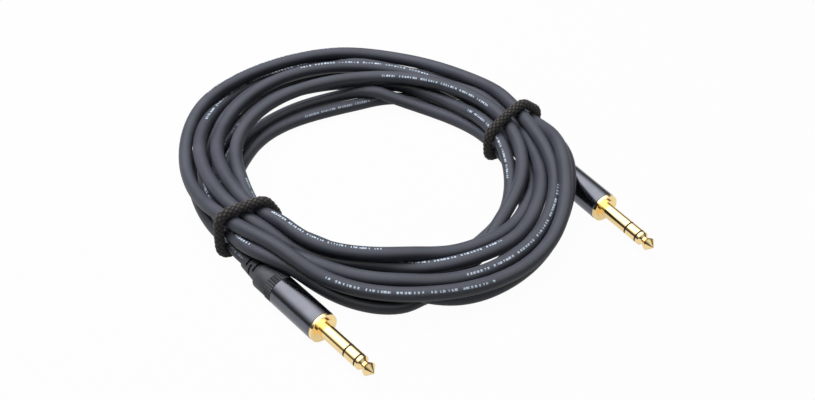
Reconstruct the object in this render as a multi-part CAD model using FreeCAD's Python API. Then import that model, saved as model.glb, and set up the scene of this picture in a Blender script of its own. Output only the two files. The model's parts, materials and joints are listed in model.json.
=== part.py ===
"""Coiled audio cable with a three-pole 6.35 mm plug at each end and two elastic ties.

Millimetres, +Z up. The cable lies on the plane Z = 0. The origin is on that plane, at the middle of the
box round the two plugs and the two ties. Each plug is drawn along +X, with its pin's shoulder at zero and
its point at +X, and is then turned and moved to where it lies.
"""
import FreeCAD, Part
import math
import os

os.makedirs("parts", exist_ok=True)

V = FreeCAD.Vector

# ---- Driving dimensions ----

# Clearances, radial unless said
snug = 0.02            # contacts and insulators inside the pin
seat = 0.05            # spigot and liner in the shell
thread_play = 0.07     # nut's thread in the shell
cord_play = 0.10       # nut and bend relief on the cord
grip_play = 0.05       # open chuck on the cord
end_gap = 0.1          # along the axis, between pieces that stop against each other

# Pin
pin_radius = 6.35 / 2
pin_length = 30.5      # shoulder to point
point_length = 8.4     # tip contact
ring_length = 5.6      # ring contact
spacer_length = 0.9    # each black ring
spacer_recess = 0.05
rod_radius = 0.9
tube_wall = 0.45       # insulating tubes and ring tube
point_land = 1.4       # full-width land behind the groove of the point
groove_radius = 1.95
groove_from_point = 5.5
bulge_from_point = 2.8
bulge_radius = 3.1
nose_radius = 0.5

# Collar, flange and shell
collar_radius = 4.75
collar_length = 1.0
flange_radius = 6.7
flange_length = 1.5
shell_radius = 6.85
shell_length = 26.7
shell_wall = 1.2
shell_edge = 0.35      # chamfer at both ends of the shell
spigot_length = 6.5
cup_depth = 2.5        # rear insulator's seat in the spigot
cup_wall = 1.0

# Solder tags
tag_plate = 0.8
ground_plate = 0.6
tag_strip = 0.5
tag_width = 2.0
ring_tag_radius = 2.6
tip_tag_radius = 2.0
ground_tag_inside = 3.0
tag_reach = 8.0        # from the spigot's rear face to the end of the strips
ground_reach = 11.0

# Liner and chuck
liner_wall = 0.4
chuck_length = 6.5
chuck_collar_length = 2.0
chuck_collar_play = 0.2
chuck_wall = 1.35
chuck_taper = 0.5      # how much the tail narrows
chuck_slot = 0.8

# Back nut and bend relief
thread_length = 4.1
thread_pitch = 1.0
thread_depth = 0.45
nut_length = 4.4       # knurled band
nut_radius = 6.85
knurl_count = 36
knurl_depth = 0.25
tail_length = 5.0      # nut's tail inside the bend relief
tail_wall = 1.3
sleeve_radius = 6.55   # smooth part of the bend relief
sleeve_length = 8.2
relief_length = 12.4
relief_front_radius = 5.3
relief_back_radius = 4.1
relief_step = 0.8
slot_width = 1.1
slot_angle = 116
slot_rows = 3

# Cord
cord_radius = 3.2
jacket_end = 24.5      # behind the shoulder, inside the chuck
boot_travel = 4.0      # how far nut and bend relief move back when they are unscrewed
lead_in_bundle = 3.8   # straight cord beyond that, inside the bundle
core_radius = 0.7
conductor_radius = 0.4
stripped_length = 2.2
screen_radius = 0.6
bead_radius = 0.85
screen_off_tag = 0.2

# Elastic ties
tie_radius = 2.0
tie_corner = 6.0       # on the tie's centre line
tie_play = 0.3

# Where things lie: coil centre, then shoulders and headings of the plugs about it
coil_centre = V(-28.42, 41.58, 0)
plugs = {
    "near": {"shoulder": (-17.2, -99.7), "heading": -48.3},
    "far": {"shoulder": (107.8, -26.0), "heading": -56.6},
}
# middle of each tie, its heading, and the bundle's inner and outer radius and top there
ties = {
    "left": {"at": (-53.8, -44.2), "heading": 29.0, "inner": 57.3, "outer": 82.0, "top": 24.2},
    "right": {"at": (67.95, 27.0), "heading": 38.4, "inner": 59.4, "outer": 87.2, "top": 24.8},
}
bundle_lift = 0.2      # of the bundle above the ties' lower run
coil_corner = 4.0      # chamfer of the coil's outer shape

# Outer shape of the coil, anticlockwise from +X: angle, inner radius, outer radius,
# radius where the underside steps up, its height inside and outside that step, height of the top
tie_top = 2 * tie_radius + bundle_lift
over_boot, over_shell = 11.6, 14.3
coil_shape = [
    (0, 61, 94, 82, 0.5, over_shell, 26),
    (6, 61, 93, 77, 2, over_shell, 26),
    (12, 59.4, 89.2, 75.5, tie_top, over_shell, 25.5),
    (17.4, 59.4, 87.2, 74, tie_top, over_boot, ties["right"]["top"]),
    (20.5, 59.4, 87.2, 74, tie_top, tie_top, ties["right"]["top"]),
    (28, 59.4, 87.2, 74, tie_top, tie_top, ties["right"]["top"]),
    (37, 58.5, 88, 70, 1, 1, 23.5),
    (48, 58, 89.5, 70, 0, 0, 22),
    (62, 58, 91.5, 70, 0, 0, 20),
    (78, 58.5, 93, 70, 0, 0, 19.5),
    (95, 59, 97, 72, 0, 0, 19),
    (112, 57, 100.5, 75, 0, 0, 19),
    (130, 57.5, 101, 77, 0, 0, 19),
    (148, 60, 101.5, 78, 0, 0, 19),
    (164, 62, 97.5, 78, 0, 0, 18.5),
    (178, 61.5, 93, 77, 0, 0, 20),
    (190, 58, 88, 72, 0, 0, 22),
    (200, 57.3, 85.5, 72, 1, 1, 22.5),
    (211, 57.3, 82, 70, tie_top, tie_top, ties["left"]["top"]),
    (222.5, 57.3, 82, 70, tie_top, tie_top, ties["left"]["top"]),
    (225, 57.4, 83, 71, tie_top, over_boot, 24),
    (230, 57.2, 83, 71, 1, over_shell, 24.5),
    (236, 57.2, 83, 71, 0, over_shell, 24.5),
    (240, 57.2, 83, 71, 0, over_shell, 24.5),
    (245, 56.7, 80, 72, 0, over_shell, 22.4),
    (250, 56.2, 81, 72, 0, 0, 21.7),
    (262, 56.2, 85.5, 75, 0, 0, 21),
    (275, 58.8, 88.5, 77, 0, 0, 20),
    (290, 62.4, 93, 80, 0, 0, 18),
    (305, 63.8, 96, 83, 0, 0, 15.5),
    (318, 62, 97.5, 84, 0, 0, 15.5),
    (332, 62.4, 98, 83, 0, 0, 17.5),
    (343, 62.4, 97, 82, 0, 0, 21),
    (350, 62, 97, 88, 0, over_shell, 24),
    (355, 61.5, 96, 86, 0.2, over_shell, 26),
]

# ---- Worked out from the sizes above ----

# Along the pin, forwards from the shoulder
tip_back = pin_length - point_length
ring_front = tip_back - spacer_length
ring_back = ring_front - ring_length
barrel_front = ring_back - spacer_length
tip_tube_radius = rod_radius + snug + tube_wall
ring_tube_radius = tip_tube_radius + snug + tube_wall
ring_insulator_radius = ring_tube_radius + snug + tube_wall
spacer_radius = pin_radius - spacer_recess

# Along the body, backwards from the shoulder
flange_back = -(collar_length + flange_length)
shell_back = flange_back - shell_length
shell_bore = shell_radius - shell_wall
spigot_radius = shell_bore - seat
spigot_back = flange_back - spigot_length
cup_front = spigot_back + cup_depth
cup_radius = spigot_radius - cup_wall
ring_tag_back = spigot_back - tag_plate
washer_back = ring_tag_back - tag_plate
tip_tag_back = washer_back - tag_plate
strip_back = spigot_back - tag_reach
ground_back = spigot_back - ground_reach

thread_front = shell_back + thread_length
chuck_collar_back = thread_front + end_gap
chuck_front = chuck_collar_back + chuck_collar_length
chuck_back = chuck_front - chuck_length
chuck_bore = cord_radius + grip_play
chuck_front_radius = chuck_bore + chuck_wall
chuck_back_radius = chuck_front_radius - chuck_taper
liner_back = chuck_front + end_gap
liner_radius = shell_bore - seat

thread_radius = shell_bore - thread_play
boot_bore = cord_radius + cord_play
nut_back = shell_back - nut_length
tail_back = nut_back - tail_length
tail_radius = boot_bore + tail_wall
sleeve_back = nut_back - sleeve_length
relief_back = sleeve_back - relief_length


def turned(points):
    """A solid turned about the X axis from the corners (x, radius) of half its section."""
    corners = [V(x, 0, r) for x, r in points]
    wire = Part.makePolygon(corners + corners[:1])
    return Part.Face(wire).revolve(V(), V(1, 0, 0), 360)


def tube(back, front, outside, inside):
    return turned([(back, inside), (front, inside), (front, outside), (back, outside)])


def bar(back, front, radius, y=0, z=0):
    return Part.makeCylinder(radius, front - back, V(back, y, z), V(1, 0, 0))


def box(x_range, y_range, z_range):
    low, high = zip(x_range, y_range, z_range)
    size = [b - a for a, b in zip(low, high)]
    return Part.makeBox(*size, V(*low))


# ---- Pin ----

def tip_contact():
    """Rod, land, groove and rounded point."""
    bulge = pin_length - bulge_from_point
    groove = pin_length - groove_from_point
    land = tip_back + point_land
    nose = pin_length - nose_radius
    slope = math.radians(45)
    nose_side = V(nose + nose_radius * math.sin(slope), 0, nose_radius * math.cos(slope))
    edges = [
        Part.LineSegment(V(tip_tag_back, 0, 0), V(tip_tag_back, 0, rod_radius)),
        Part.LineSegment(V(tip_tag_back, 0, rod_radius), V(tip_back, 0, rod_radius)),
        Part.LineSegment(V(tip_back, 0, rod_radius), V(tip_back, 0, pin_radius)),
        Part.LineSegment(V(tip_back, 0, pin_radius), V(land, 0, pin_radius)),
        Part.LineSegment(V(land, 0, pin_radius), V(groove - 0.4, 0, groove_radius)),
        Part.LineSegment(V(groove - 0.4, 0, groove_radius), V(groove + 0.4, 0, groove_radius)),
        Part.Arc(V(groove + 0.4, 0, groove_radius), V(bulge - 0.9, 0, bulge_radius - 0.3),
                 V(bulge, 0, bulge_radius)),
        Part.LineSegment(V(bulge, 0, bulge_radius), nose_side),
        Part.Arc(nose_side,
                 V(nose + nose_radius * math.cos(slope / 2), 0, nose_radius * math.sin(slope / 2)),
                 V(pin_length, 0, 0)),
        Part.LineSegment(V(pin_length, 0, 0), V(tip_tag_back, 0, 0)),
    ]
    wire = Part.Wire([edge.toShape() for edge in edges])
    return Part.Face(wire).revolve(V(), V(1, 0, 0), 360)


def spacer(back, front, bore, radius):
    """Black ring on the front end of an insulating tube."""
    behind = front - spacer_length
    return turned([(back, bore), (front, bore), (front, spacer_radius), (behind, spacer_radius),
                   (behind, radius), (back, radius)])


def ring_contact():
    bore = tip_tube_radius + snug
    return turned([(ring_tag_back, bore), (ring_front, bore), (ring_front, pin_radius),
                   (ring_back, pin_radius), (ring_back, ring_tube_radius),
                   (ring_tag_back, ring_tube_radius)])


def sleeve_contact():
    """Barrel of the pin, collar, flange and the spigot that the shell is pressed on."""
    bore = ring_insulator_radius + snug
    return turned([(cup_front, bore), (barrel_front, bore), (barrel_front, pin_radius), (0, pin_radius),
                   (0, collar_radius), (-collar_length, collar_radius), (-collar_length, flange_radius),
                   (flange_back, flange_radius), (flange_back, spigot_radius), (spigot_back, spigot_radius),
                   (spigot_back, cup_radius), (cup_front, cup_radius)])


# ---- Inside the shell ----

def solder_tag(back, front, disc_radius, bore, side):
    """Disc on the pin's end with a strip to solder to; side is +1 for above the axis, -1 for below."""
    low = disc_radius - tag_strip
    height = (low, disc_radius) if side > 0 else (-disc_radius, -low)
    disc = tube(back, front, disc_radius, bore)
    return disc.fuse(box((strip_back, front), (-tag_width / 2, tag_width / 2), height)).removeSplitter()


def ground_lug():
    plate = tube(spigot_back - ground_plate, spigot_back, liner_radius - liner_wall - seat,
                 ground_tag_inside + 0.1)
    strip = box((ground_back, spigot_back), (ground_tag_inside, ground_tag_inside + tag_strip),
                (-tag_width / 2, tag_width / 2))
    return plate.fuse(strip).removeSplitter()


ring_core_height = ring_tag_radius - tag_strip - snug - core_radius
tip_core_height = -(tip_tag_radius - tag_strip - snug - core_radius)
screen_side = ground_tag_inside - screen_off_tag - screen_radius


def core(height):
    """Insulated wire with its bare end."""
    front = strip_back + stripped_length
    bare_back = front - stripped_length
    return bar(-jacket_end, bare_back, core_radius, z=height).fuse(
        bar(bare_back, front, conductor_radius, z=height)).removeSplitter()


def solder_beads(soldered):
    """One bead on each tag, shaped by the tag and the wire in it."""
    middle = strip_back + stripped_length / 2
    places = [V(middle, 0, ring_core_height + core_radius / 2),
              V(middle, 0, tip_core_height - core_radius / 2),
              V(ground_back + 2 * stripped_length, screen_side, 0)]
    beads = [Part.makeSphere(bead_radius, place) for place in places]
    return Part.makeCompound([bead.cut(soldered) for bead in beads])


def shell():
    edge = shell_radius - shell_edge
    return turned([(shell_back, shell_bore), (flange_back, shell_bore), (flange_back, edge),
                   (flange_back - shell_edge, shell_radius), (shell_back + shell_edge, shell_radius),
                   (shell_back, edge)])


def chuck():
    """Collet with a collar in front and four slots from the back."""
    collar = shell_bore - chuck_collar_play
    solid = turned([(chuck_back, chuck_bore), (chuck_front, chuck_bore), (chuck_front, collar),
                    (chuck_collar_back, collar), (chuck_collar_back, chuck_front_radius),
                    (chuck_back, chuck_back_radius)])
    slots = (chuck_back - 1, chuck_collar_back + chuck_collar_length / 4)
    across, wide = (-chuck_slot / 2, chuck_slot / 2), (-shell_radius, shell_radius)
    return solid.cut([box(slots, across, wide), box(slots, wide, across)])


# ---- Back nut and bend relief ----

def back_nut():
    """Threaded spigot, knurled band and the tail that the bend relief is moulded on."""
    cone = end_gap * 0.8
    seat_back = chuck_back - end_gap
    profile = [(tail_back, boot_bore), (seat_back, boot_bore), (seat_back, chuck_back_radius + cone),
               (thread_front, chuck_front_radius + cone)]
    turns = int(thread_length / thread_pitch)
    for i in range(turns):
        crest = thread_front - i * thread_pitch
        profile += [(crest, thread_radius - thread_depth), (crest - 0.4 * thread_pitch, thread_radius),
                    (crest - 0.6 * thread_pitch, thread_radius)]
    profile += [(shell_back, thread_radius - thread_depth), (shell_back, tail_radius + 0.1),
                (nut_back, tail_radius + 0.1), (nut_back, tail_radius), (tail_back, tail_radius)]
    corners = []
    for i in range(2 * knurl_count):
        angle = math.pi * i / knurl_count
        radius = nut_radius - knurl_depth * (i % 2)
        corners.append(V(nut_back, radius * math.cos(angle), radius * math.sin(angle)))
    star = Part.Face(Part.makePolygon(corners + corners[:1])).extrude(V(nut_length, 0, 0))
    band = star.cut(bar(nut_back - 1, shell_back + 1, tail_radius - 0.2))
    return turned(profile).fuse(band).removeSplitter()


def bend_relief():
    """Smooth collar over the nut's tail, then a tapered tube with slots, each row a quarter turn on."""
    edge = 0.4
    solid = turned([(relief_back, boot_bore), (tail_back, boot_bore), (tail_back, tail_radius + snug),
                    (nut_back, tail_radius + snug), (nut_back, sleeve_radius),
                    (sleeve_back, sleeve_radius), (sleeve_back - relief_step, relief_front_radius),
                    (relief_back + edge, relief_back_radius), (relief_back, relief_back_radius - edge)])
    pitch = (relief_length - relief_step - slot_width) / (slot_rows + 1)
    cuts = []
    for row in range(slot_rows):
        x = sleeve_back - relief_step - (row + 1) * pitch
        for side in (0, 180):
            wedge = Part.makeCylinder(sleeve_radius, slot_width, V(x, 0, 0), V(1, 0, 0), slot_angle)
            wedge.rotate(V(), V(1, 0, 0), side + 90 * (row % 2) - slot_angle / 2)
            cuts.append(wedge)
    return solid.cut(cuts)


# ---- Cord ----

def cord_lead():
    """Jacketed cord from inside the chuck, straight through the boot and as far behind as that moves."""
    back = relief_back - boot_travel - lead_in_bundle
    solid = bar(back, -jacket_end, cord_radius)
    length = -jacket_end - back
    share = solid.Volume / (math.pi * cord_radius ** 2 * length)
    print(f"cord lead: {length:.1f} mm, {share:.4f} of its section")
    return solid


def coil_solid():
    """Closed ring with flat facets, round all the turns of the coil."""
    def section(angle, inner, outer, step, low, lift, top):
        c = coil_corner
        outline = [(inner, low + c), (inner + c, low), (step - 1, low), (step, lift),
                   (outer - c, lift), (outer, lift + c), (outer, top - c), (outer - c, top),
                   (inner + c, top), (inner, top - c)]
        cos, sin = math.cos(math.radians(angle)), math.sin(math.radians(angle))
        return [V(r * cos, r * sin, z) for r, z in outline]

    rings = [section(*row) for row in coil_shape]
    faces = []
    for ring, following in zip(rings, rings[1:] + rings[:1]):
        for i in range(len(ring)):
            a, b = ring[i - 1], ring[i]
            d, c = following[i - 1], following[i]
            for corners in ((a, b, c), (a, c, d)):
                if (corners[1] - corners[0]).cross(corners[2] - corners[0]).Length > 1e-6:
                    faces.append(Part.Face(Part.makePolygon(list(corners) + [corners[0]])))
    solid = Part.Solid(Part.Shell(faces))
    return solid if solid.Volume > 0 else solid.reversed()


# ---- Ties ----

def tie(at, heading, inner, outer, top):
    """Elastic loop standing across the bundle, on the floor, as a rounded rectangle of round section."""
    x, y = at
    bearing = math.degrees(math.atan2(y, x)) - heading
    across = (outer - inner) / 2 / abs(math.cos(math.radians(bearing))) + tie_play + tie_radius
    low, high = tie_radius, top + tie_play + tie_radius
    u, c = V(math.cos(math.radians(heading)), math.sin(math.radians(heading)), 0), tie_corner
    diagonal = c * (1 - math.sqrt(0.5))

    def place(side, height):
        return V(x, y, 0) + u * side + V(0, 0, height)

    left, right = -across, across
    edges = [
        Part.LineSegment(place(left + c, low), place(right - c, low)),
        Part.Arc(place(right - c, low), place(right - diagonal, low + diagonal), place(right, low + c)),
        Part.LineSegment(place(right, low + c), place(right, high - c)),
        Part.Arc(place(right, high - c), place(right - diagonal, high - diagonal), place(right - c, high)),
        Part.LineSegment(place(right - c, high), place(left + c, high)),
        Part.Arc(place(left + c, high), place(left + diagonal, high - diagonal), place(left, high - c)),
        Part.LineSegment(place(left, high - c), place(left, low + c)),
        Part.Arc(place(left, low + c), place(left + diagonal, low + diagonal), place(left + c, low)),
    ]
    path = Part.Wire([edge.toShape() for edge in edges])
    circle = Part.Wire(Part.makeCircle(tie_radius, place(left + c, low), u))
    return path.makePipeShell([circle], True, False)


# ---- Assembly ----

def plug_pieces():
    """Every piece of one plug, drawn along +X."""
    rod_bore = rod_radius + snug
    tip_tube_bore = tip_tube_radius + snug
    tip_lug = solder_tag(tip_tag_back, washer_back, tip_tag_radius, rod_bore, -1)
    ring_lug = solder_tag(ring_tag_back, spigot_back, ring_tag_radius, ring_tube_radius + snug, 1)
    ground = ground_lug()
    tip_core, ring_core = core(tip_core_height), core(ring_core_height)
    screen = bar(-jacket_end, ground_back + 2 * stripped_length, screen_radius, y=screen_side)
    return {
        "tip_contact": tip_contact(),
        "tip_insulator": spacer(washer_back, tip_back, rod_bore, tip_tube_radius),
        "ring_contact": ring_contact(),
        "ring_insulator": spacer(cup_front, ring_back, ring_tube_radius + snug, ring_insulator_radius),
        "sleeve_contact": sleeve_contact(),
        "rear_insulator": tube(spigot_back, cup_front, cup_radius - snug, ring_tube_radius + snug),
        "ring_lug": ring_lug,
        "lug_washer": tube(washer_back, ring_tag_back, tip_tag_radius, tip_tube_bore),
        "tip_lug": tip_lug,
        "ground_lug": ground,
        "shell": shell(),
        "shell_liner": tube(liner_back, spigot_back - end_gap, liner_radius, liner_radius - liner_wall),
        "tip_core": tip_core,
        "ring_core": ring_core,
        "screen_tail": screen,
        "solder": solder_beads([tip_lug, ring_lug, ground, tip_core, ring_core, screen]),
        "chuck": chuck(),
        "back_nut": back_nut(),
        "bend_relief": bend_relief(),
        "cord_lead": cord_lead(),
    }


nodes = {"cord_coil": coil_solid()}

for side, values in ties.items():
    nodes[f"tie_{side}"] = tie(**values)

for end, plug in plugs.items():
    turn = FreeCAD.Rotation(V(0, 0, 1), plug["heading"])
    lie = FreeCAD.Placement(V(*plug["shoulder"], shell_radius), turn).toMatrix()
    for name, shape in plug_pieces().items():
        nodes[f"{end}_{name}"] = shape.transformed(lie, True)

move = FreeCAD.Placement(coil_centre, FreeCAD.Rotation()).toMatrix()
for name, shape in nodes.items():
    placed = shape.transformed(move, True)
    placed.exportStep(f"parts/{name}.step")
print(f"{len(nodes)} nodes; the boot ends {-relief_back:.1f} mm behind the shoulder")
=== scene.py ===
import json
import math
import bpy
import numpy as np
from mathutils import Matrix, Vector


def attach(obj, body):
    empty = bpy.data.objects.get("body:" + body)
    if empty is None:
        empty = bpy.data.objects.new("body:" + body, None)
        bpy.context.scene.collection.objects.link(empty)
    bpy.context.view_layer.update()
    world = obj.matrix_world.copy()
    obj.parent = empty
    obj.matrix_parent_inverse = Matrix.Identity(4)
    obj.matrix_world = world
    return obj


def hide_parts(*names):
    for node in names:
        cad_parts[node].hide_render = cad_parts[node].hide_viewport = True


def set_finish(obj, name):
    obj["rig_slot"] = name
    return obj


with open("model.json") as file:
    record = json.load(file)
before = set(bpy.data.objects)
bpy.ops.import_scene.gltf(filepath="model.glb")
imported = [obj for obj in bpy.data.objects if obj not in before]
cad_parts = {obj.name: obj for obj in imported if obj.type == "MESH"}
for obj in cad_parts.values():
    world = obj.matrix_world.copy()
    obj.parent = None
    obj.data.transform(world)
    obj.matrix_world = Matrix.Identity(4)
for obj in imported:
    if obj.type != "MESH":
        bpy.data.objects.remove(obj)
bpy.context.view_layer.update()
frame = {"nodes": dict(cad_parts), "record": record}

mm = 0.001
record = frame["record"]
slotOf = {part["node"]: part["material_slot"] for part in record["subparts"]}
bodyOf = {node: body for body, names in record["behaviour"]["bodies"].items() for node in names}
print("frame loaded:", len(frame["nodes"]), "nodes")

# sizes and places, in millimetres
coilCentre = np.array([-28.42, 41.58, 0.0])
# how far behind the shoulder of the pin each piece of a plug ends, and three radii
plugBack = {"flange": -2.5, "jacket": 24.5, "nut": 33.6, "sleeve": 41.8, "relief": 54.2, "lead": 62.0}
plugWidth = {"shell": 6.85, "sleeve": 6.6, "relief": 4.3}
bootTravel = 4.0


def readPlugs():
    plugs = {}
    for pin in record["mounts"]:
        axis = np.array(pin["axis"], float)
        shoulder = np.array(pin["pos_m"], float) / mm - axis * pin["dims"]["length_mm"] / 2
        plugs[pin["name"].split("_")[0]] = {"axis": axis, "shoulder": shoulder}
    return plugs


plugs = readPlugs()


def colour(code):
    levels = [int(code[i:i + 2], 16) / 255 for i in (1, 3, 5)]
    return [c / 12.92 if c <= 0.04045 else ((c + 0.055) / 1.055) ** 2.4 for c in levels] + [1.0]


def addNode(tree, kind, inputs=None, stops=(), to=None, **settings):
    # a node given as an input means its first output, and "to" is the socket that the new node feeds
    node = tree.nodes.new(kind)
    for name, value in settings.items():
        setattr(node, name, value)
    if stops:   # places and tones on a colour ramp
        elements = node.color_ramp.elements
        while len(elements) < len(stops):
            elements.new(0.5)
        for element, (place, tone) in zip(elements, stops):
            element.position = place
            element.color = colour(tone) if isinstance(tone, str) else (tone, tone, tone, 1)
    for key, value in (inputs or {}).items():
        if isinstance(value, bpy.types.Node):
            value = value.outputs[0]
        if isinstance(value, bpy.types.NodeSocket):
            tree.links.new(value, node.inputs[key])
        else:
            node.inputs[key].default_value = value
    if to:
        tree.links.new(node.outputs[0], to)
    return node


def newMaterial(name, **sockets):
    material = bpy.data.materials.new(name)
    material.use_nodes = True
    tree = material.node_tree
    shader = tree.nodes["Principled BSDF"]
    for key, value in sockets.items():
        shader.inputs[key.replace("_", " ")].default_value = value
    return material, tree, shader


# radius and height of each turn at thirteen places round the coil, wound clockwise from the near plug
coil = {
    "angles": [219, 192, 165, 138, 111, 84, 53, 22, -5, -32, -59, -86, -113],
    "turns": [
        [(78.4, 7.1), (83, 4.2), (90.5, 3.4), (93.5, 3.4), (92.5, 3.4), (90, 3.4), (87, 8.5),
         (83.5, 15.2), (87.5, 22.3), (94.5, 10.8), (91, 9.8), (85, 12.6), (79.5, 16)],
        [(77.6, 19.7), (85, 13), (94, 14), (98, 15), (95, 15.2), (90, 13.5), (81, 16.5),
         (77.2, 20.6), (85, 17.8), (87.5, 11.5), (84.5, 10.4), (78, 12.6), (73.5, 15.5)],
        [(71.8, 13.4), (71, 10), (71.5, 5), (71, 4), (69, 4.5), (63, 5), (61, 4.5),
         (62.6, 7.4), (70.5, 4), (79, 3.4), (83, 3.4), (83, 3.4), (80, 9.5)],
        [(78.3, 13.5), (78.5, 9.5), (85, 8.5), (91, 9.6), (90.5, 8.5), (84, 9), (76.5, 7),
         (70, 8.6), (75.5, 9.5), (75, 9), (69, 10.6), (66, 16.2), (66, 18.7)],
        [(65, 19.6), (69.5, 19), (78.5, 14.5), (83.5, 15), (86, 13.2), (78.5, 13.8), (74, 12),
         (76.8, 14), (79.5, 14.5), (81, 12), (75.5, 12), (64.5, 10), (66.5, 12.5)],
        [(71.3, 19.8), (77, 17.5), (88, 14), (96.5, 8.6), (96.5, 5), (84, 3.4), (83.5, 5),
         (83.6, 9.2), (92, 16.9), (92, 4.2), (89.5, 3.4), (78.5, 3.4), (73, 8)],
        [(72.2, 7.3), (74, 4.2), (75.5, 7.5), (79.5, 9), (76.5, 8.5), (71.5, 8.5), (65, 10),
         (62.8, 14.8), (65, 10.2), (67.5, 4), (67.5, 3.4), (62.5, 5), (60.5, 14)],
        [(62, 13.8), (62, 14), (69, 13.5), (70.5, 15), (69, 15.2), (68.5, 15.8), (68.5, 17.5),
         (69.5, 18.3), (70.5, 15), (69, 10.8), (74, 3.4), (70, 3.4), (67.5, 6)],
        [(65.8, 7.4), (66.5, 4), (68, 3.5), (63.5, 3.4), (60.5, 3.4), (67, 3.4), (72, 3.6), (76.9, 7)],
    ],
    "steps": 4,        # points between two places
    "play": 0.12,      # between two strands
    "plugPlay": 0.5,   # between a strand and a plug
    "rounds": 160,
    "pushes": 3,       # in each round
    "straighten": 0.35,
    "pull": 0.06,      # back to the places above
    "tied": (0, 7),    # which of the thirteen places are in the ties
    "hold": 0.5,       # pull in the ties
    "lift": 0.3,       # how much a strand rises as a plug pushes it aside
    "ownPoints": 6,    # next to its own plug, where the plug does not push it
}
cord = {"radius": 3.2, "sides": 8, "smooth": 4}


def coilTargets():
    places = [(turn * 360 - angle, r, z) for turn, row in enumerate(coil["turns"])
              for angle, (r, z) in zip(coil["angles"], row)]
    along, radius, height = np.array(places, float).T
    steps = coil["steps"]
    found = []
    for i in range(len(along) - 1):
        ends = [max(i - 1, 0), i, i + 1, min(i + 2, len(along) - 1)]
        for s in range(steps):
            t = s / steps
            weights = np.array([-t + 2 * t * t - t ** 3, 2 - 5 * t * t + 3 * t ** 3,
                                t + 4 * t * t - 3 * t ** 3, t ** 3 - t * t]) / 2
            turned = along[i] + t * (along[i + 1] - along[i])
            found.append([turned, weights @ radius[ends], weights @ height[ends]])
    found.append([along[-1], radius[-1], height[-1]])
    return np.array(found)


def plugRadius(back):
    # with room for the boot to move back along the cord
    places = [plugBack["nut"], plugBack["sleeve"] + bootTravel, plugBack["relief"] + bootTravel]
    outline = np.interp(back, places, list(plugWidth.values()))
    return np.where((back < plugBack["flange"]) | (back > plugBack["lead"]), 0, outline)


def settle(targets):
    # lets the turns straighten, part from each other, and lie on the floor and on the plugs
    turnAngle = np.radians(-targets[:, 0])
    outwards = np.stack([np.cos(turnAngle), np.sin(turnAngle), np.zeros(len(turnAngle))], 1)
    aim = targets[:, 1:].copy()
    aim[:, 1] = np.maximum(aim[:, 1], cord["radius"])
    now = aim.copy()
    perTurn = len(coil["angles"]) * coil["steps"]
    count, turns = len(now), len(coil["turns"])
    spacing = 2 * cord["radius"] + coil["play"]
    held = [i for i in range(count) if i % perTurn in [k * coil["steps"] for k in coil["tied"]]]
    for sweep in range(coil["rounds"]):
        smooth = now.copy()
        smooth[2:-2] = (4 * now[1:-3] + 4 * now[3:-1] - now[:-4] - now[4:]) / 6
        now = now + coil["straighten"] * (smooth - now)
        now += coil["pull"] * (aim - now)
        for push in range(coil["pushes"]):
            for a in range(turns):
                for b in range(a + 1, turns):
                    first = np.arange(a * perTurn, min((a + 1) * perTurn, count - (b - a) * perTurn))
                    if len(first) < 1:
                        continue
                    second = first + (b - a) * perTurn
                    apart = now[second] - now[first]
                    distance = np.maximum(np.linalg.norm(apart, axis=1), 1e-3)
                    shove = apart / distance[:, None] * (np.maximum(spacing - distance, 0) / 2)[:, None]
                    now[first] -= shove
                    now[second] += shove
            now[:, 1] = np.maximum(now[:, 1], cord["radius"])
        place = coilCentre + outwards * now[:, :1] + np.array([0, 0, 1]) * now[:, 1:]
        for end, plug in plugs.items():
            back = -(place - plug["shoulder"]) @ plug["axis"]
            across = place - plug["shoulder"] + back[:, None] * plug["axis"]
            distance = np.linalg.norm(across, axis=1)
            radius = plugRadius(back)
            need = radius + cord["radius"] + coil["plugPlay"]
            fromPlug = np.arange(count) if end == "near" else np.arange(count)[::-1]
            own = fromPlug < coil["ownPoints"]
            hit = (radius > 0) & (distance < need) & ~own
            push = np.where(hit, (need - distance) / distance, 0)[:, None] * across
            sideways = (push * outwards).sum(1)
            now += np.stack([sideways, push[:, 2] + coil["lift"] * abs(sideways)], 1)
        now[held] += coil["hold"] * (aim[held] - now[held])
    now[:, 1] = np.maximum(now[:, 1], cord["radius"])
    return coilCentre + outwards * now[:, :1] + np.array([0, 0, 1]) * now[:, 1:]


def straightLead(end):
    plug = plugs[end]
    return np.array([plug["shoulder"] - plug["axis"] * back
                     for back in np.linspace(plugBack["jacket"], plugBack["lead"], 7)])


def cordRoute():
    turns = settle(coilTargets())
    return np.concatenate([straightLead("near"), turns, straightLead("far")[::-1]])


route = cordRoute()
routeLength = np.linalg.norm(np.diff(route, axis=0), axis=1).sum()
print(f"cord route: {len(route)} points, {routeLength / 1000:.2f} m")


def makeCord():
    curve = bpy.data.curves.new("cord", "CURVE")
    curve.dimensions = "3D"
    curve.bevel_depth = 1.0   # each point's radius gives the thickness, so that the curve's own box is true
    curve.bevel_resolution = cord["sides"]
    curve.resolution_u = cord["smooth"]
    curve.use_fill_caps = True
    spline = curve.splines.new("NURBS")
    spline.points.add(len(route) - 1)
    for point, place in zip(spline.points, route):
        point.co = (*(place * mm), 1)
        point.radius = cord["radius"] * mm
    spline.order_u = 3
    spline.use_endpoint_u = True
    piece = bpy.data.objects.new("cord", curve)
    bpy.context.scene.collection.objects.link(piece)
    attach(piece, "cable")
    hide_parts("cord_coil", "near_cord_lead", "far_cord_lead")
    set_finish(piece, "cord_jacket")
    return piece


cordPiece = makeCord()

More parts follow.
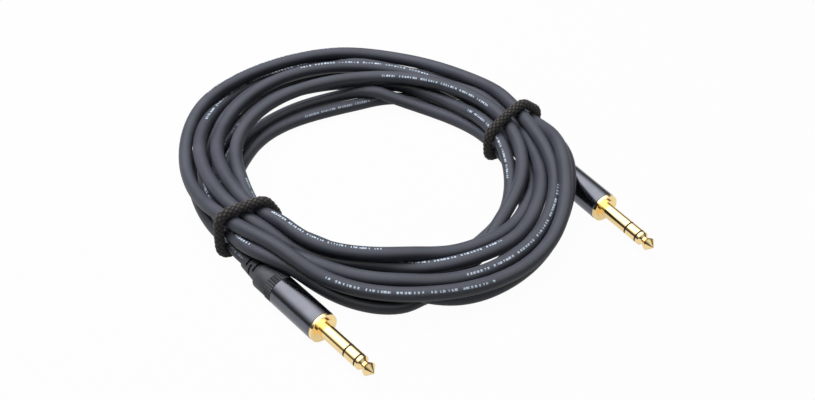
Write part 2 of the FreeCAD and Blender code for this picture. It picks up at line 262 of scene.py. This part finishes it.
tie = {
    "radius": 2.15,
    "play": 0.1,       # between the loop and the strands
    "points": 40,
    "reach": 30.0,     # how far to each side of its middle a tie looks for strands
    "sides": 16,
    "smooth": 12,
    "stitch": 2.6,     # length of one stitch of the braid
    "strands": 6,      # stitches round the braid
    "relief": 0.45,    # how far the stitches stand out
    "places": {
        "left": {"at": (-53.8, -44.2), "heading": 29.0},
        "right": {"at": (67.95, 27.0), "heading": 38.4},
    },
}


def strandsIn(at, across, normal):
    # where the cord passes through the plane of a tie: places across it and heights
    side = (route - at) @ normal
    found = []
    for i in np.where(side[:-1] * side[1:] <= 0)[0]:
        share = side[i] / (side[i] - side[i + 1])
        place = route[i] + share * (route[i + 1] - route[i])
        if abs((place - at) @ across) < tie["reach"]:
            found.append([(place - at) @ across, place[2]])
    return np.array(found)


def roundOutline(strands, reach):
    # the loop that a tight band takes round the strands
    angles = np.linspace(0, 2 * math.pi, 720, endpoint=False)
    rays = np.stack([np.cos(angles), np.sin(angles)], 1)
    circles = np.concatenate([strand + reach * rays for strand in strands])
    middle = (circles.min(0) + circles.max(0)) / 2
    edge = np.array([circles[np.argmax((circles - middle) @ ray)] for ray in rays])
    edge[:, 1] = np.maximum(edge[:, 1], tie["radius"] + tie["relief"] / 2)
    loop = np.concatenate([edge, edge[:1]])
    along = np.concatenate([[0], np.cumsum(np.linalg.norm(np.diff(loop, axis=0), axis=1))])
    marks = np.linspace(0, along[-1], tie["points"], endpoint=False)
    return np.stack([np.interp(marks, along, loop[:, k]) for k in (0, 1)], 1), along[-1]


def makeTie(name, at, heading):
    turn = math.radians(heading)
    across = np.array([math.cos(turn), math.sin(turn), 0])
    normal = np.array([-math.sin(turn), math.cos(turn), 0])
    at = coilCentre + np.array([*at, 0])
    strands = strandsIn(at, across, normal)
    outline, length = roundOutline(strands, cord["radius"] + tie["radius"] + tie["play"])
    curve = bpy.data.curves.new(name, "CURVE")
    curve.dimensions = "3D"
    curve.bevel_depth = tie["radius"] * mm
    curve.bevel_resolution = tie["sides"]
    curve.resolution_u = tie["smooth"]
    spline = curve.splines.new("NURBS")
    spline.points.add(len(outline) - 1)
    for point, (side, height) in zip(spline.points, outline):
        point.co = (*((at + across * side + np.array([0, 0, height])) * mm), 1)
    spline.order_u = 3
    spline.use_cyclic_u = True
    piece = bpy.data.objects.new(name, curve)
    bpy.context.scene.collection.objects.link(piece)
    bpy.ops.object.select_all(action="DESELECT")
    piece.select_set(True)
    bpy.context.view_layer.objects.active = piece
    bpy.ops.object.convert(target="MESH")
    piece = bpy.context.view_layer.objects.active
    raiseStitches(piece, length)
    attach(piece, "cable")
    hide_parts(f"tie_{name.split('_')[0]}")
    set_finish(piece, "tie_braid")
    print(f"{name}: {length:.0f} mm round")
    return piece


def raiseStitches(piece, length):
    # rows of round stitches from the braid's own map, with an attribute for its material: how high each is
    mesh = piece.data
    corners = np.zeros(2 * len(mesh.loops), np.float32)
    mesh.uv_layers[0].data.foreach_get("uv", corners)
    vertexOf = np.zeros(len(mesh.loops), np.int32)
    mesh.loops.foreach_get("vertex_index", vertexOf)
    place = np.zeros((len(mesh.vertices), 2))
    place[vertexOf] = corners.reshape(-1, 2)
    along = math.pi * round(length / tie["stitch"]) * place[:, 0]
    around = math.pi * tie["strands"] * place[:, 1]
    height = np.maximum(abs(np.cos(along) * np.cos(around)), abs(np.sin(along) * np.sin(around)))
    spots = np.zeros(3 * len(mesh.vertices), np.float32)
    mesh.vertices.foreach_get("co", spots)
    outwards = np.array([normal.vector for normal in mesh.vertex_normals], np.float32)
    spots += (outwards * ((height - 0.5) * tie["relief"] * mm)[:, None]).astype(np.float32).ravel()
    mesh.vertices.foreach_set("co", spots)
    # the material paints shade between the stitches and highlight on their crests from this height
    attribute = mesh.attributes.new("stitch", "FLOAT", "POINT")
    attribute.data.foreach_set("value", height.astype(np.float32))


ties = [makeTie(f"{side}_tie_loop", **place) for side, place in tie["places"].items()]

# plug pieces that show: merged copies with smooth faces, some with rounded edges (in millimetres)
shown = ["tip_contact", "tip_insulator", "ring_contact", "ring_insulator", "sleeve_contact", "shell",
         "back_nut", "bend_relief"]
rounding = {"bend_relief": 0.12}
smoothUpTo = 35   # degrees between two faces


def finishedCopy(node, edge):
    source = frame["nodes"][node]
    piece = bpy.data.objects.new(f"{node}_finished", source.data.copy())
    bpy.context.scene.collection.objects.link(piece)
    bpy.ops.object.select_all(action="DESELECT")
    piece.select_set(True)
    bpy.context.view_layer.objects.active = piece
    bpy.ops.object.mode_set(mode="EDIT")
    bpy.ops.mesh.select_all(action="SELECT")
    bpy.ops.mesh.remove_doubles(threshold=1e-6)
    bpy.ops.object.mode_set(mode="OBJECT")
    bpy.ops.mesh.customdata_custom_splitnormals_clear()
    if edge:
        bevel = piece.modifiers.new("edges", "BEVEL")
        bevel.width = edge * mm
        bevel.segments = 2
        bevel.limit_method = "ANGLE"
        bevel.angle_limit = math.radians(40)
        bpy.ops.object.modifier_apply(modifier=bevel.name)
    bpy.ops.object.shade_smooth_by_angle(angle=math.radians(smoothUpTo))
    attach(piece, bodyOf[node])
    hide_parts(node)
    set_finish(piece, slotOf[node])
    return piece


finished = [finishedCopy(f"{end}_{name}", rounding.get(name, 0)) for end in plugs for name in shown]
print("plug pieces:", len(finished))


def softPvc():
    # extruded PVC jacket: nearly black and slightly blue, soft sheen, with runs of small worn grey marks
    marks = {"every": 214.0, "run": 66.0, "word": 12.0, "dash": 1.5, "tall": 1.0,
             "twists": 0.28, "start": 0.05}
    material, tree, shader = newMaterial("softPvcExtruded", IOR=1.5, Specular_IOR_Level=0.35)
    places = addNode(tree, "ShaderNodeTexCoord").outputs
    grain = addNode(tree, "ShaderNodeTexNoise",
                    {"Vector": places["Object"], "Scale": 1 / (0.6 * mm), "Detail": 3.0})
    smear = addNode(tree, "ShaderNodeTexNoise",
                    {"Vector": places["Object"], "Scale": 1 / (18 * mm), "Detail": 4.0})
    split = addNode(tree, "ShaderNodeSeparateXYZ", {"Vector": places["UV"]}).outputs
    along = addNode(tree, "ShaderNodeMath", {0: split["X"], 1: routeLength}, operation="MULTIPLY")
    intoRun = addNode(tree, "ShaderNodeMath", {0: along, 1: marks["every"]}, operation="MODULO")
    inRun = addNode(tree, "ShaderNodeMath", {0: intoRun, 1: marks["run"]}, operation="LESS_THAN")
    intoWord = addNode(tree, "ShaderNodeMath", {0: along, 1: marks["word"]}, operation="MODULO")
    inWord = addNode(tree, "ShaderNodeMath", {0: intoWord, 1: 0.82 * marks["word"]}, operation="LESS_THAN")
    # each mark has a width of its own
    count = addNode(tree, "ShaderNodeMath", {0: along, 1: marks["dash"]}, operation="DIVIDE")
    intoDash = addNode(tree, "ShaderNodeMath", {0: count}, operation="FRACT")
    number = addNode(tree, "ShaderNodeMath", {0: count}, operation="FLOOR")
    chance = addNode(tree, "ShaderNodeTexWhiteNoise", {"W": number}, noise_dimensions="1D")
    wide = addNode(tree, "ShaderNodeMapRange", {"Value": chance, "To Min": 0.25, "To Max": 0.85})
    inDash = addNode(tree, "ShaderNodeMath", {0: intoDash, 1: wide}, operation="LESS_THAN")
    # the row winds slowly round the cord
    twist = addNode(tree, "ShaderNodeMath", {0: split["X"], 1: marks["twists"], 2: marks["start"]},
                    operation="MULTIPLY_ADD")
    around = addNode(tree, "ShaderNodeMath", {0: split["Y"], 1: twist}, operation="SUBTRACT")
    around = addNode(tree, "ShaderNodeMath", {0: around, 1: 0.0, 2: 1.0}, operation="WRAP")
    share = marks["tall"] / (2 * math.pi * cord["radius"])
    inRow = addNode(tree, "ShaderNodeMath", {0: around, 1: share}, operation="LESS_THAN")
    worn = addNode(tree, "ShaderNodeValToRGB", {"Fac": grain}, [(0.35, 0.3), (0.6, 0.85)])
    inked = inRun
    for part in (inWord, inDash, inRow, worn):
        inked = addNode(tree, "ShaderNodeMath", {0: inked, 1: part}, operation="MULTIPLY")
    tone = addNode(tree, "ShaderNodeValToRGB", {"Fac": smear}, [(0.3, "#272930"), (0.7, "#31333a")])
    mixed = addNode(tree, "ShaderNodeMix", {"Factor": inked, "A": tone, "B": colour("#a3b0bf")},
                    data_type="RGBA")
    tree.links.new(mixed.outputs[2], shader.inputs["Base Color"])
    addNode(tree, "ShaderNodeValToRGB", {"Fac": smear}, [(0.3, 0.42), (0.7, 0.55)],
            shader.inputs["Roughness"])
    addNode(tree, "ShaderNodeBump", {"Height": grain, "Distance": 0.015 * mm, "Strength": 0.4},
            to=shader.inputs["Normal"])
    return material


def braidedPolyester():
    # braided elastic: black yarn, with painted shade between the stitches and a painted grey-brown
    # highlight on their crests
    material, tree, shader = newMaterial("braidedPolyester", Roughness=0.85, Sheen_Weight=0.08,
                                         Sheen_Roughness=0.4)
    place = addNode(tree, "ShaderNodeTexCoord").outputs["Object"]
    high = addNode(tree, "ShaderNodeAttribute", attribute_name="stitch").outputs["Fac"]
    yarn = addNode(tree, "ShaderNodeTexNoise", {"Vector": place, "Scale": 1 / (0.35 * mm), "Detail": 2.0})
    soft = addNode(tree, "ShaderNodeMath", {0: yarn, 1: 0.3, 2: high}, operation="MULTIPLY_ADD")
    # painted shade and highlight: near black low between the stitches, grey-brown on their raised crests
    addNode(tree, "ShaderNodeValToRGB", {"Fac": soft},
            [(0.45, "#020202"), (0.85, "#100f0f"), (1.0, "#3a3634")], shader.inputs["Base Color"])
    addNode(tree, "ShaderNodeBump", {"Height": yarn, "Distance": 0.12 * mm, "Strength": 0.8},
            to=shader.inputs["Normal"])
    return material


def goldPlate():
    # polished gold plating on turned brass: pale yellow, mirror-like, with faint softer patches
    material, tree, shader = newMaterial("goldPlatedBrass", Metallic=1.0, Base_Color=colour("#ffe2a6"))
    place = addNode(tree, "ShaderNodeTexCoord").outputs["Object"]
    haze = addNode(tree, "ShaderNodeTexNoise", {"Vector": place, "Scale": 1 / (2.5 * mm), "Detail": 5.0})
    addNode(tree, "ShaderNodeValToRGB", {"Fac": haze}, [(0.35, 0.07), (0.75, 0.16)],
            shader.inputs["Roughness"])
    addNode(tree, "ShaderNodeBump", {"Height": haze, "Distance": 0.01 * mm, "Strength": 0.25},
            to=shader.inputs["Normal"])
    return material


def blackShell():
    # turned brass plated in satin black: a dark mirror, grey towards a pale room, black towards the cord
    material, tree, shader = newMaterial("blackNickelSatin", Metallic=1.0)
    place = addNode(tree, "ShaderNodeTexCoord").outputs["Object"]
    fine = addNode(tree, "ShaderNodeTexNoise", {"Vector": place, "Scale": 1 / (0.4 * mm), "Detail": 3.0})
    broad = addNode(tree, "ShaderNodeTexNoise", {"Vector": place, "Scale": 1 / (9 * mm), "Detail": 3.0})
    addNode(tree, "ShaderNodeValToRGB", {"Fac": broad}, [(0.3, "#676971"), (0.7, "#72747c")],
            shader.inputs["Base Color"])
    addNode(tree, "ShaderNodeValToRGB", {"Fac": fine}, [(0.35, 0.2), (0.7, 0.26)],
            shader.inputs["Roughness"])
    addNode(tree, "ShaderNodeBump", {"Height": fine, "Distance": 0.006 * mm, "Strength": 0.3},
            to=shader.inputs["Normal"])
    return material


def mouldedPlastic(name, dark, light, smooth, rough, grit=0.35, depth=0.02):
    # moulded plastic or rubber: fine spark-eroded grain, slightly uneven tone
    material, tree, shader = newMaterial(name, IOR=1.48)
    place = addNode(tree, "ShaderNodeTexCoord").outputs["Object"]
    grain = addNode(tree, "ShaderNodeTexNoise", {"Vector": place, "Scale": 1 / (grit * mm), "Detail": 3.0})
    broad = addNode(tree, "ShaderNodeTexNoise", {"Vector": place, "Scale": 1 / (7 * mm), "Detail": 3.0})
    addNode(tree, "ShaderNodeValToRGB", {"Fac": broad}, [(0.3, dark), (0.7, light)],
            shader.inputs["Base Color"])
    addNode(tree, "ShaderNodeValToRGB", {"Fac": grain}, [(0.3, smooth), (0.7, rough)],
            shader.inputs["Roughness"])
    addNode(tree, "ShaderNodeBump", {"Height": grain, "Distance": depth * mm, "Strength": 0.5},
            to=shader.inputs["Normal"])
    return material


def softMetal(name, dark, light, smooth, rough):
    # stamped, drawn or soldered metal inside the plug: dull patches on a bright ground
    material, tree, shader = newMaterial(name, Metallic=1.0)
    place = addNode(tree, "ShaderNodeTexCoord").outputs["Object"]
    patch = addNode(tree, "ShaderNodeTexNoise", {"Vector": place, "Scale": 1 / (1.2 * mm), "Detail": 4.0})
    addNode(tree, "ShaderNodeValToRGB", {"Fac": patch}, [(0.3, dark), (0.7, light)],
            shader.inputs["Base Color"])
    addNode(tree, "ShaderNodeValToRGB", {"Fac": patch}, [(0.3, rough), (0.7, smooth)],
            shader.inputs["Roughness"])
    addNode(tree, "ShaderNodeBump", {"Height": patch, "Distance": 0.03 * mm, "Strength": 0.4},
            to=shader.inputs["Normal"])
    return material


finishes = {
    "cord_jacket": softPvc(),
    "tie_braid": braidedPolyester(),
    "gold_plate": goldPlate(),
    "pin_insulator": mouldedPlastic("acetalTurned", "#0d0b0a", "#171412", 0.3, 0.4),
    "shell_black": blackShell(),
    "nut_plastic": mouldedPlastic("nylonMoulded", "#141518", "#1c1d21", 0.38, 0.5),
    "relief_rubber": mouldedPlastic("elastomerMoulded", "#25262b", "#2e3035", 0.42, 0.55, 0.4, 0.03),
    "chuck_plastic": mouldedPlastic("acetalMoulded", "#c9c6bd", "#dbd8d0", 0.3, 0.42),
    "liner_film": mouldedPlastic("polyesterFilm", "#d2cdb8", "#e2decb", 0.2, 0.3),
    "tinned_brass": softMetal("brassTinned", "#a8a59c", "#d0cec8", 0.22, 0.4),
    "core_red": mouldedPlastic("pvcRed", "#9c1414", "#b81c1a", 0.3, 0.42),
    "core_white": mouldedPlastic("pvcWhite", "#d6d6d0", "#e8e8e4", 0.3, 0.42),
    "bare_copper": softMetal("copperStranded", "#a85f3c", "#d28a62", 0.25, 0.42),
    "solder_tin": softMetal("solderTin", "#a4a6aa", "#cfd1d4", 0.25, 0.45),
}


def dress(piece, slotName):
    piece.data.materials.clear()
    piece.data.materials.append(finishes[slotName])


for node, piece in frame["nodes"].items():
    dress(piece, slotOf[node])
for piece in [cordPiece, *ties, *finished]:
    dress(piece, piece["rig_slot"])

studio = {
    "floor": 3.0,
    "world": 0.035,
    "key": {"place": (-0.45, 0.35, 1.0), "size": (0.8, 0.7), "power": 41.0},
    "fill": {"place": (0.7, -0.35, 0.8), "size": (0.9, 0.9), "power": 3.0},
}


def makeFloor():
    # white to the eye and pale in metal, over a grey that keeps the object's shadow
    bpy.ops.mesh.primitive_plane_add(size=studio["floor"], location=(0, 0, 0))
    floor = bpy.context.active_object
    floor.name = "floor"
    material, tree, shader = newMaterial("paleFloor", Roughness=0.9, Specular_IOR_Level=0.1,
                                         Base_Color=colour("#808080"))
    glow = addNode(tree, "ShaderNodeEmission", {"Color": (1, 1, 1, 1), "Strength": 1.0})
    ray = addNode(tree, "ShaderNodeLightPath").outputs
    mirrored = addNode(tree, "ShaderNodeMath", {0: ray["Is Glossy Ray"], 1: 0.7}, operation="MULTIPLY")
    seen = addNode(tree, "ShaderNodeMath", {0: ray["Is Camera Ray"], 1: 0.97, 2: mirrored},
                   operation="MULTIPLY_ADD")
    addNode(tree, "ShaderNodeMixShader", {0: seen, 1: shader, 2: glow},
            to=tree.nodes["Material Output"].inputs["Surface"])
    floor.data.materials.append(material)


def makeWorld():
    # white to the eye, a little even light, and in metal and sheen a pale ceiling over a dim wall
    world = bpy.data.worlds.new("studio")
    bpy.context.scene.world = world
    world.use_nodes = True
    tree = world.node_tree
    light = tree.nodes["Background"]
    light.inputs["Color"].default_value = (1, 1, 1, 1)
    light.inputs["Strength"].default_value = studio["world"]
    ray = addNode(tree, "ShaderNodeLightPath").outputs
    white = addNode(tree, "ShaderNodeBackground", {"Color": (1, 1, 1, 1), "Strength": 1.0})
    direction = addNode(tree, "ShaderNodeTexCoord").outputs["Generated"]
    height = addNode(tree, "ShaderNodeSeparateXYZ", {"Vector": direction}).outputs["Z"]
    room = addNode(tree, "ShaderNodeValToRGB", {"Fac": height},
                   [(0.1, 0.02), (0.3, 0.04), (0.5, 0.3), (0.75, 1.0)])
    mirrored = addNode(tree, "ShaderNodeBackground", {"Color": room, "Strength": 2.5})
    mixed = addNode(tree, "ShaderNodeMixShader", {0: ray["Is Camera Ray"], 1: light, 2: white})
    addNode(tree, "ShaderNodeMixShader", {0: ray["Is Glossy Ray"], 1: mixed, 2: mirrored},
            to=tree.nodes["World Output"].inputs["Surface"])


def addLamp(name, place, size, power):
    lamp = bpy.data.lights.new(name, "AREA")
    lamp.shape = "RECTANGLE"
    lamp.size, lamp.size_y = size
    lamp.energy = power
    holder = bpy.data.objects.new(name, lamp)
    holder.location = place
    holder.rotation_euler = (-Vector(place)).to_track_quat("-Z", "Y").to_euler()
    holder.visible_glossy = False   # the pale room already shows in the metal
    bpy.context.scene.collection.objects.link(holder)


camera = {"aim": (16.15, -11.37), "distance": 498.0, "elevation": 41.0, "lens": 46.38, "sensor": 36.0}


def makeCamera():
    aim = Vector((coilCentre + np.array([*camera["aim"], 0])) * mm)
    tilt = math.radians(camera["elevation"])
    back = Vector((0, -math.cos(tilt), math.sin(tilt)))
    data = bpy.data.cameras.new("camera")
    data.sensor_width = camera["sensor"]
    data.lens = camera["lens"]
    holder = bpy.data.objects.new("camera", data)
    holder.location = aim + back * camera["distance"] * mm
    holder.rotation_euler = (-back).to_track_quat("-Z", "Y").to_euler()
    bpy.context.scene.collection.objects.link(holder)
    bpy.context.scene.camera = holder


makeFloor()
makeWorld()
for name in ("key", "fill"):
    addLamp(name, **studio[name])
makeCamera()
bpy.context.scene.view_settings.view_transform = "Standard"
print("floor, lamps and camera made")
